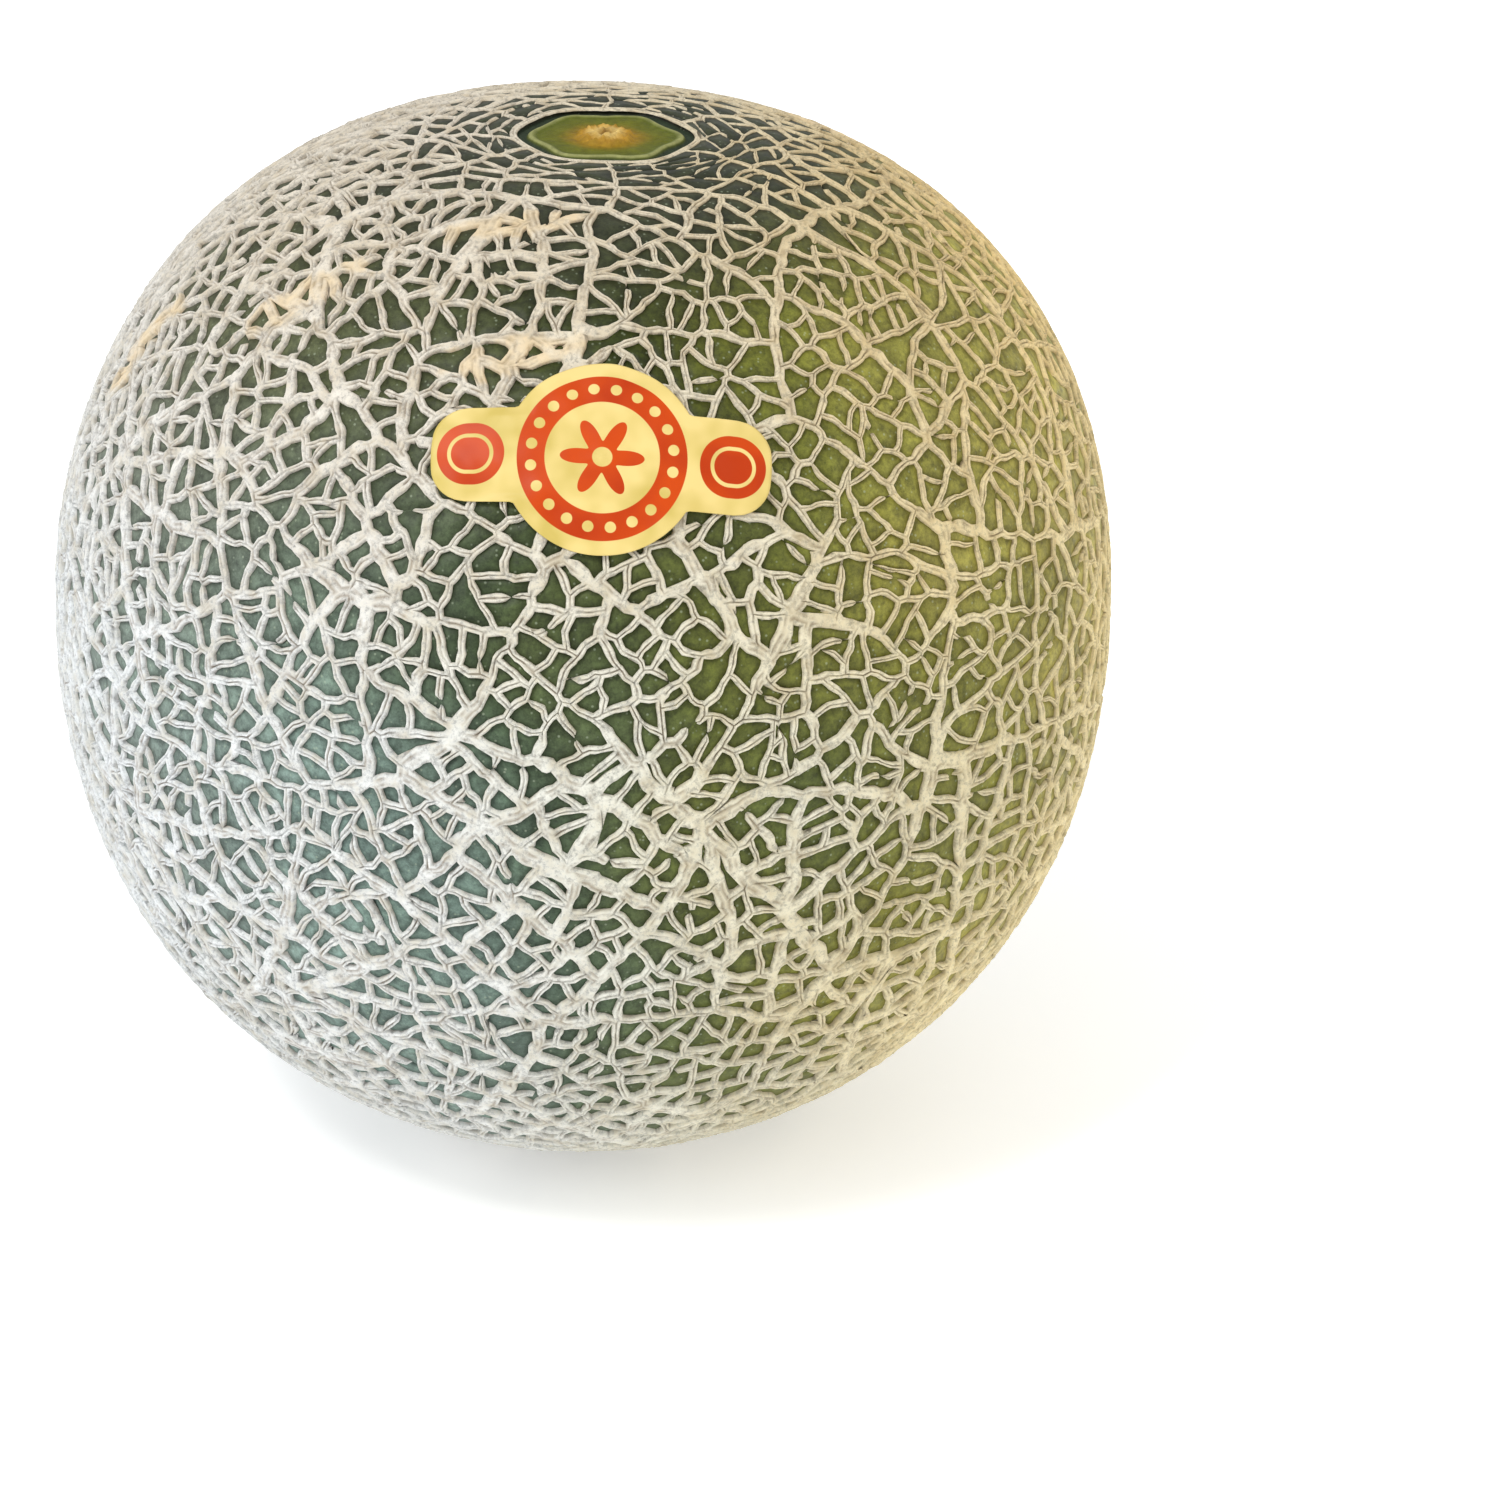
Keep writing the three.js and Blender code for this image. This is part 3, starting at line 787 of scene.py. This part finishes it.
def build_net(net):
    """The cork net and the green skin under it, as two builders."""
    cork = Builder(("groove", "hidden"))
    skin = Builder(("tone", "edge"))
    halves_at = net.point_halves()
    rank, present = mainness(halves_at), presence(halves_at)
    cork.add(net.points, mixed(MIDDLE_HEIGHTS, rank) * present,
             groove=mixed(MIDDLE_TONES, rank), hidden=1 - present)
    # Edge: painted shade on the skin, full under a standing cord, none where the cord has stopped.
    skin.add(net.points, SUNK * present, tone=0.5, edge=present)
    rng = np.random.default_rng(TONE_SEED)
    for cell in range(net.count):
        loop, halves = net.loop(cell)
        dirs = net.points[loop]
        axis = unit(dirs.sum(0))
        plane = plane_at(axis)
        scale = MEAN_RADIUS / (dirs @ axis)
        outline = flatten(plane, dirs) * scale[:, None]
        own_half = np.maximum(halves, np.roll(halves, 1))
        share, shown = mainness(own_half), presence(own_half)
        rings, middle, squeeze = cell_rings(outline, halves, mixed(RING_SHARES, share))
        heights = mixed(RING_HEIGHTS, share)
        tones = mixed(TAN_AND_SHADE_TONES, share)
        outer = loop
        for k, ring in enumerate(rings):
            lift = heights[:, k] * (SQUEEZED_HEIGHT + (1 - SQUEEZED_HEIGHT) * squeeze) * shown
            inner = cork.add(unflatten(plane, ring), lift, groove=tones[:, k], hidden=1 - shown)
            cork.strip(outer, inner, cell)
            outer = inner
        if cell == net.scar:
            tip = cork.add(axis[None], SCAR_HEIGHT, groove=0.6, hidden=0.0)
            cork.cone(outer, tip[0], cell)
        add_skin_cell(skin, loop, net.coarse[loop], rings[3], middle, plane, cell, rng.random())
    cork.join()
    skin.join()
    place = cork.dirs * MEAN_RADIUS
    rough = NET_ROUGHNESS * waves(place, ROUGHNESS_LENGTH, seed=81)
    cork.lifts = relief(cork.dirs) * (cork.lifts + rough) + SUNK * cork.values.pop("hidden")
    cork.values["flake"] = flakes(place)
    return cork, skin


def add_skin_cell(skin, loop, kept, foot, middle, plane, cell, tone):
    """The green floor of a cell: from under the cords to a slightly domed middle, with painted shade
    along its edge next to the cords.
    """
    ring = foot[kept]
    size = np.linalg.norm(ring - middle, axis=1).mean()
    lift = DISC_FLOOR if cell == 0 else 0.0
    inner = skin.add(unflatten(plane, ring), lift, tone=tone, edge=0.9)
    tip = skin.add(unflatten(plane, middle[None]), lift + CELL_DOME * size, tone=tone, edge=0.0)
    skin.strip(loop[kept], inner, cell)
    skin.cone(inner, tip[0], cell)


def disc_profile(distance):
    """Height over the skin across the stem end, from the middle outwards."""
    return np.interp(distance, DISC_STOPS, DISC_HEIGHTS)


def hexagon(turn):
    """The disc's outline: a blunt, uneven hexagon."""
    return 1 + 0.055 * np.cos(6 * turn) + 0.025 * np.cos(2 * turn) + 0.012 * np.sin(5 * turn + 1)


def build_disc(material):
    """The green disc at the stem's end, with a pale rim and a corky scar."""
    disc = Builder(("reach",))
    turns = np.linspace(0, 2 * np.pi, DISC_SIDES, endpoint=False)
    outline = hexagon(turns)
    rings = []
    green, corky = np.linspace(*DISC_RADII, DISC_RINGS), np.linspace(*SCAR_RADII, SCAR_RINGS)
    for reach in np.concatenate([green, corky]):
        blunt = smoothstep(reach, 3.0, 9.0) * (1 - smoothstep(reach, 11.3, 13.0))
        dirs = around(STEM, reach * (1 + (outline - 1) * blunt), turns)
        place = dirs * MEAN_RADIUS
        cork = 1 - smoothstep(reach, 3.6, 5.2)
        rough = cork * (0.15 * waves(place, 1.5, seed=7) + 0.1 * waves(place, 0.7, seed=8))
        lift = disc_profile(reach) + rough + 0.03 * waves(place, 3.0, seed=9)
        rings.append(disc.add(dirs, lift, reach=reach))
    disc.strips(rings)
    tip = disc.add(STEM[None], disc_profile(0.0), reach=0.0)
    disc.cone(rings[-1], tip[0], 0)
    disc.join()
    return disc.piece("stem_scar", material)


def label_reach(angle):
    """From the middle of the sticker to its outline: a bar with round corners over a disc."""
    near, far = np.full(len(angle), LABEL_DISC / 2), np.full(len(angle), LABEL_BAR[0] / 2)
    for _ in range(LABEL_HALVINGS):
        reach = (near + far) / 2
        x = np.abs(reach * np.cos(angle)) - LABEL_BAR[0] / 2 + LABEL_CORNER
        y = np.abs(reach * np.sin(angle)) - LABEL_BAR[1] / 2 + LABEL_CORNER
        corner = np.hypot(np.maximum(x, 0), np.maximum(y, 0))
        inside = corner < LABEL_CORNER
        near, far = np.where(inside, reach, near), np.where(inside, far, reach)
    return near


def build_label(material):
    """A thin glossy sticker over the net, at an even height over the skin, a little wrinkled and lifted
    at its edge.
    """
    middle = direction(*np.radians(LABEL_PLACE))
    plane = plane_at(middle)
    turns = np.linspace(0, 2 * np.pi, LABEL_SIDES, endpoint=False)
    reach = label_reach(turns)
    flat_sides = np.stack([np.cos(turns), np.sin(turns)], 1) * reach[:, None]
    cos, sin = math.cos(LABEL_TURN), math.sin(LABEL_TURN)
    turned = np.array([[cos, sin], [-sin, cos]])
    label = Builder(("flat_x", "flat_y"))

    def ring(share, drop):
        flat = flat_sides * share
        dirs = unflatten(plane, flat @ turned)
        place = dirs * MEAN_RADIUS
        wrinkle = 0.07 * waves(place, 9.0, seed=51) + 0.035 * waves(place, 4.2, seed=52)
        edge = 0.12 * smoothstep(share, 0.8, 1.0) * waves(place, 11.0, seed=53)
        lift = LABEL_LIFT + wrinkle + edge - drop
        return label.add(dirs, lift, flat_x=flat[:, 0], flat_y=flat[:, 1])

    shares = np.sqrt(np.linspace(1, LABEL_HOLE**2, LABEL_RINGS))
    rings = [ring(shares[0], LABEL_THICKNESS)] + [ring(share, 0.0) for share in shares]
    under = ring(LABEL_HOLE, LABEL_THICKNESS)
    label.strips([under, *rings])
    for loop, drop in ((rings[-1], 0.0), (under[::-1], LABEL_THICKNESS)):
        tip = label.add(middle[None], LABEL_LIFT - drop, flat_x=0.0, flat_y=0.0)
        label.cone(loop, tip[0], 0)
    label.join()
    return label.piece("sticker", material)


class Shader:
    """A material's node tree with short calls for the nodes that are used here."""

    def __init__(self, name, settings):
        self.material = bpy.data.materials.new(name)
        self.material.use_nodes = True
        self.tree = self.material.node_tree
        self.surface = self.tree.nodes["Principled BSDF"]
        for socket, value in settings.items():
            self.put(self.surface.inputs[socket], value)
        self.place = self.node("TexCoord", {}).outputs["Object"]

    def node(self, kind, inputs, **settings):
        made = self.tree.nodes.new("ShaderNode" + kind)
        for key, value in settings.items():
            setattr(made, key, value)
        for key, value in inputs.items():
            self.put(made.inputs[key], value)
        return made

    def put(self, socket, value):
        """Links a socket, or gives it a number or a colour."""
        if isinstance(value, bpy.types.NodeSocket):
            self.tree.links.new(value, socket)
        else:
            socket.default_value = (*value, 1) if isinstance(value, tuple) else value

    def math(self, operation, *values, clamp=False):
        inputs = dict(enumerate(values))
        return self.node("Math", inputs, operation=operation, use_clamp=clamp).outputs[0]

    def attribute(self, name):
        return self.node("Attribute", {}, attribute_name=name).outputs["Fac"]

    def texture(self, kind, size, **inputs):
        """A texture whose features are about size metres across."""
        return self.node(kind, {"Vector": self.place, "Scale": 1 / size, **inputs})

    def noise(self, size, detail=2.0, roughness=0.5):
        return self.texture("TexNoise", size, Detail=detail, Roughness=roughness).outputs["Fac"]

    def ramp(self, value, *stops):
        """Levels, or the 0 to 255 numbers of screen colours, at places along 0 to 1."""
        made = self.node("ValToRGB", {0: value})
        elements = made.color_ramp.elements
        while len(elements) < len(stops):
            elements.new(0.5)
        for element, (place, *colour) in zip(elements, stops):
            element.position = place
            linear = srgb(*colour) if len(colour) == 3 else colour * 3
            element.color = (*linear, 1)
        return made.outputs[0]

    def mix(self, share, a, b, blend="MIX"):
        inputs = {"Factor": share, "A": a, "B": b}
        return self.node("Mix", inputs, data_type="RGBA", blend_type=blend).outputs["Result"]

    def tint(self, base, by):
        return self.mix(1.0, base, by, "MULTIPLY")

    def shade(self, base, value, *stops):
        """Darkens a colour where a value's ramp is under 1."""
        return self.tint(base, self.ramp(value, *stops))

    def colour(self, base):
        self.put(self.surface.inputs["Base Color"], base)

    def bump(self, height, distance, strength=1.0):
        made = self.node("Bump", {"Height": height, "Distance": distance, "Strength": strength})
        self.put(self.surface.inputs["Normal"], made.outputs[0])

    def axis(self, name):
        return self.node("SeparateXYZ", {0: self.place}).outputs[name]

    def height_share(self, low, high):
        """0 below one height, 1 over another, both in millimetres."""
        span = high - low
        return self.math("MULTIPLY_ADD", self.axis("Z"), 1 / span / MM, -low / span, clamp=True)

    def side_share(self):
        """0 at the left of the fruit, 1 at its right, with an uneven border."""
        wobble = self.math("MULTIPLY", self.math("SUBTRACT", self.noise(0.05), 0.5), 0.5)
        along = self.math("MULTIPLY_ADD", self.axis("X"), 1 / (2 * BELLY_RADIUS * MM), 0.5)
        return self.math("ADD", along, wobble, clamp=True)


def srgb(*numbers):
    """A linear colour from the 0 to 255 numbers of a screen colour."""
    values = [number / 255 for number in numbers]
    return tuple(v / 12.92 if v <= 0.04045 else ((v + 0.055) / 1.055) ** 2.4 for v in values)


def skin_material():
    """Waxy green skin: blue-grey on the left, deep green in front, yellow-green on the right. The
    blue-grey is partly painted reflection of cool light in the waxy bloom, and the yellow-green is
    partly painted warm light.
    """
    s = Shader("melon_skin", {"Roughness": 0.5, "Specular IOR Level": 0.22})
    side = s.side_share()
    # Across the fruit: the blue-grey on the left is partly the bloom's own colour and partly painted
    # reflection of cool light; the yellow-green on the right is the riper side, partly with painted warm
    # light.
    lower = s.ramp(
        side, (0.05, 142, 158, 148), (0.3, 136, 160, 150), (0.48, 88, 108, 84),
        (0.66, 102, 112, 50), (0.8, 142, 140, 54), (0.95, 200, 184, 94),
    )
    upper = s.ramp(
        side, (0.05, 118, 120, 98), (0.3, 92, 98, 62), (0.5, 62, 72, 16),
        (0.7, 130, 132, 50), (0.95, 186, 176, 84),
    )
    # Paler and bluer low down than up top, partly painted cool light from below.
    base = s.mix(s.height_share(80, 128), lower, upper)
    base = s.mix(s.height_share(135, 144), base, srgb(66, 70, 46))
    base = s.shade(base, s.noise(0.014, 3.0), (0.3, 0.72), (0.7, 1.0))  # wide patches
    base = s.shade(base, s.attribute("tone"), (0.0, 0.75), (1.0, 1.0))  # cell by cell
    base = s.shade(base, s.noise(0.0014, 5.0, 0.8), (0.34, 0.4), (0.66, 1.14))  # fine mottling
    specks = s.texture("TexVoronoi", SPECK_SPACING * MM).outputs["Distance"]
    base = s.mix(s.ramp(specks, (0.1, 0.3), (0.2, 0.0)), base, srgb(176, 186, 160))
    base = s.shade(base, s.attribute("edge"), (0.45, 1.0), (1.0, 0.62))  # painted shade on the skin next to the cords, darkest under them
    s.colour(base)
    s.bump(s.noise(0.0009, 3.0, 0.6), 0.00012, 0.6)
    return s.material


def cork_material():
    """Pale cork: cool white on the left and cream on the right, partly painted cool and warm light, with
    tan grooves and painted shade at the cords' feet.
    """
    s = Shader("melon_net", {"Roughness": 0.8})
    # Cool white on the left: partly painted cool light. Cream on the right: the riper side, partly
    # painted warm light.
    base = s.ramp(
        s.side_share(), (0.05, 236, 238, 238), (0.35, 235, 235, 231), (0.62, 232, 228, 210),
        (0.8, 232, 219, 180), (0.98, 248, 228, 172),
    )
    base = s.mix(s.height_share(90, 140), base, s.tint(base, srgb(250, 238, 222)))
    base = s.shade(base, s.noise(0.0008, 5.0, 0.75), (0.36, 0.52), (0.5, 0.9), (0.64, 1.0))  # fine grain
    blotch = s.ramp(s.noise(0.0032, 4.0, 0.7), (0.46, 0.0), (0.66, 0.7))
    base = s.mix(blotch, base, s.tint(base, srgb(226, 218, 202)))
    patches = s.ramp(s.noise(0.002, 3.0), (0.3, 0.3), (0.6, 0.8))
    warm = s.math("MULTIPLY", s.attribute("flake"), patches)
    base = s.mix(warm, base, srgb(228, 204, 164))
    broken = s.ramp(s.noise(0.0026, 3.0), (0.44, 0.0), (0.6, 1.0))
    groove = s.math("MULTIPLY", s.attribute("groove"), broken)
    # Tan in the cords' fissures and on the scar; at the cords' feet it is partly painted shade.
    base = s.mix(s.math("MULTIPLY", groove, 0.85), base, srgb(112, 88, 54))
    s.colour(base)
    s.bump(s.noise(0.0007, 5.0, 0.75), 0.00035, 1.0)
    return s.material


def disc_material():
    """Olive disc with a pale rim, a dark ring outside it and golden cork in the middle."""
    s = Shader("stem_end", {"Roughness": 0.65, "Specular IOR Level": 0.15})
    reach = s.math("MULTIPLY", s.attribute("reach"), 1 / DISC_REACH)
    uneven = s.math("MULTIPLY", s.math("SUBTRACT", s.noise(0.003, 3.0), 0.5), 0.12)
    scar = s.math("ADD", reach, uneven)
    base = s.ramp(
        scar, (0.03, 132, 98, 40), (0.13, 206, 176, 106), (0.25, 166, 126, 44),
        (0.38, 128, 104, 22), (0.52, 98, 98, 18), (0.72, 86, 92, 24),
    )
    rim = s.ramp(reach, (0.72, 0.0), (0.775, 0.5), (0.795, 0.5), (0.81, 0.0))
    base = s.mix(rim, base, srgb(176, 174, 120))
    outside = s.ramp(reach, (0.8, 0.0), (0.83, 1.0))
    base = s.mix(outside, base, srgb(52, 62, 46))
    base = s.shade(base, s.noise(0.0011, 4.0, 0.65), (0.3, 0.75), (0.7, 1.2))  # fine mottling
    s.colour(base)
    s.bump(s.noise(0.0006, 4.0, 0.7), 0.0002, 0.7)
    return s.material


def label_material():
    """Pale gold glossy paper with a plain print: a flower in a beaded band, a pill at each end."""
    s = Shader("sticker_paper", {
        "Roughness": 0.5, "Specular IOR Level": 0.15, "Coat Weight": 0.04, "Coat Roughness": 0.2,
    })
    x, y = s.attribute("flat_x"), s.attribute("flat_y")

    def length(a, b):
        return s.math("SQRT", s.math("ADD", s.math("MULTIPLY", a, a), s.math("MULTIPLY", b, b)))

    def inside(value, limit):
        """1 where value is under the limit, with a soft edge."""
        return s.math("MULTIPLY", s.math("SUBTRACT", limit, value), PRINT_SHARPNESS, clamp=True)

    def without(a, b):
        return s.math("SUBTRACT", a, b, clamp=True)

    radius = length(x, y)
    turn = s.math("ARCTAN2", y, x)
    band = without(inside(radius, BAND_OUTER), inside(radius, BAND_INNER))
    from_bead = s.math("SUBTRACT", s.math("FRACT", s.math("MULTIPLY", turn, BEADS / math.tau)), 0.5)
    along_band = s.math("MULTIPLY", from_bead, math.tau / BEADS * BAND_MIDDLE)
    bead = inside(length(along_band, s.math("SUBTRACT", radius, BAND_MIDDLE)), BEAD_RADIUS)
    petal_wave = s.math("COSINE", s.math("MULTIPLY", turn, PETALS))
    petals = s.math("MULTIPLY_ADD", petal_wave, PETAL_DEPTH, PETAL_MIDDLE)
    flower = without(inside(radius, petals), inside(radius, FLOWER_EYE))
    from_pill = s.math("SUBTRACT", s.math("ABSOLUTE", x), PILL_PLACE)
    past_pill = s.math("SUBTRACT", s.math("ABSOLUTE", from_pill), PILL_STRETCH)
    to_pill = length(s.math("MAXIMUM", past_pill, 0.0), y)
    line = without(inside(to_pill, LINE_OUTER), inside(to_pill, LINE_INNER))
    pill = without(inside(to_pill, PILL_RADIUS), line)
    printed = s.math("MAXIMUM", without(band, bead), s.math("MAXIMUM", flower, pill))
    # Uneven paper and ink: painted shade and soft highlights of the sticker's creases.
    ground = s.ramp(s.noise(0.007, 2.0), (0.36, 192, 170, 90), (0.6, 218, 194, 124))
    ink = s.ramp(s.noise(0.008, 2.0), (0.35, 172, 50, 0), (0.65, 192, 66, 2))
    s.colour(s.mix(printed, ground, ink))
    s.bump(s.noise(0.006, 1.0), 0.0012, 0.5)
    return s.material


def floor_material():
    s = Shader("floor", {"Roughness": 0.9, "Emission Color": (1, 1, 1), "Emission Strength": 0.36})
    s.colour(s.ramp(s.noise(0.4), (0.0, 0.9), (1.0, 0.92)))
    return s.material


def build_floor():
    bpy.ops.mesh.primitive_plane_add(size=8.0)
    floor = bpy.context.active_object
    floor.name = "floor"
    floor.data.materials.append(floor_material())


def add_light(name, place, size, power, colour):
    """A square soft light that faces the fruit."""
    light = bpy.data.lights.new(name, "AREA")
    light.size, light.energy, light.color = size, power, colour
    made = add_object(name, light)
    made.location = place
    to_fruit = Vector((0, 0, REST_DEPTH * MM)) - Vector(place)
    made.rotation_euler = to_fruit.to_track_quat("-Z", "Y").to_euler()


def build_lights():
    add_light("left", (-0.9, -0.5, 0.6), 0.5, 2.6, (0.9, 0.96, 1.0))
    add_light("right", (0.9, -0.3, 0.5), 0.9, 3.4, (1.0, 0.94, 0.78))
    add_light("top", (-0.45, -0.6, 1.1), 0.3, 8.0, (1.0, 1.0, 0.98))
    world = bpy.data.worlds.new("studio")
    world.use_nodes = True
    sky = world.node_tree.nodes["Background"]
    sky.inputs["Color"].default_value = (0.93, 0.96, 1.0, 1)
    sky.inputs["Strength"].default_value = 0.72
    bpy.context.scene.world = world


def build_camera():
    """Looks past the fruit, so that its middle falls where it does in the photo."""
    target = Vector((0, 0, REST_DEPTH)) * MM
    back = Vector(direction(CAMERA_ELEVATION, 0.0))
    place = target + back * CAMERA_DISTANCE * MM
    offset_right = AIM_PIXEL[0] - PHOTO_SIZE / 2
    offset_up = PHOTO_SIZE / 2 - AIM_PIXEL[1]
    reach = math.hypot(FOCAL_PIXELS, offset_right, offset_up)
    forward = -back
    for _ in range(AIM_ROUNDS):
        right = forward.cross(Vector((0, 0, 1))).normalized()
        up = right.cross(forward)
        forward = ((-back * reach) - right * offset_right - up * offset_up).normalized()
    data = bpy.data.cameras.new("camera")
    data.sensor_width = 36
    data.lens = FOCAL_PIXELS / PHOTO_SIZE * data.sensor_width
    data.clip_start, data.clip_end = 0.01, 50
    camera = add_object("camera", data)
    camera.matrix_world = Matrix.Translation(place) @ Matrix((right, up, -forward)).transposed().to_4x4()
    bpy.context.scene.camera = camera


def dress_fruit():
    net = Net(np.random.default_rng(NET_SEED))
    cork, skin = build_net(net)
    cork_look = cork_material()
    pieces = [skin.piece("skin", skin_material()), build_disc(disc_material())]
    height = np.array([net.points[net.loop(cell)[0]].mean(0)[2] for cell in range(net.count)])
    borders = np.quantile(height, np.linspace(0, 1, len(NET_PIECES) + 1))
    borders[0], borders[-1] = -2, 2
    for name, low, high in zip(NET_PIECES, borders[:-1], borders[1:]):
        pieces.append(cork.piece(name, cork_look, (height >= low) & (height < high)))
    for piece in pieces:
        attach(piece, "root")
        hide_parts("melon")
    sticker = build_label(label_material())
    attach(sticker, "root")
    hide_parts("label")


dress_fruit()
build_floor()
build_lights()
build_camera()
bpy.context.scene.view_settings.view_transform = "Standard"
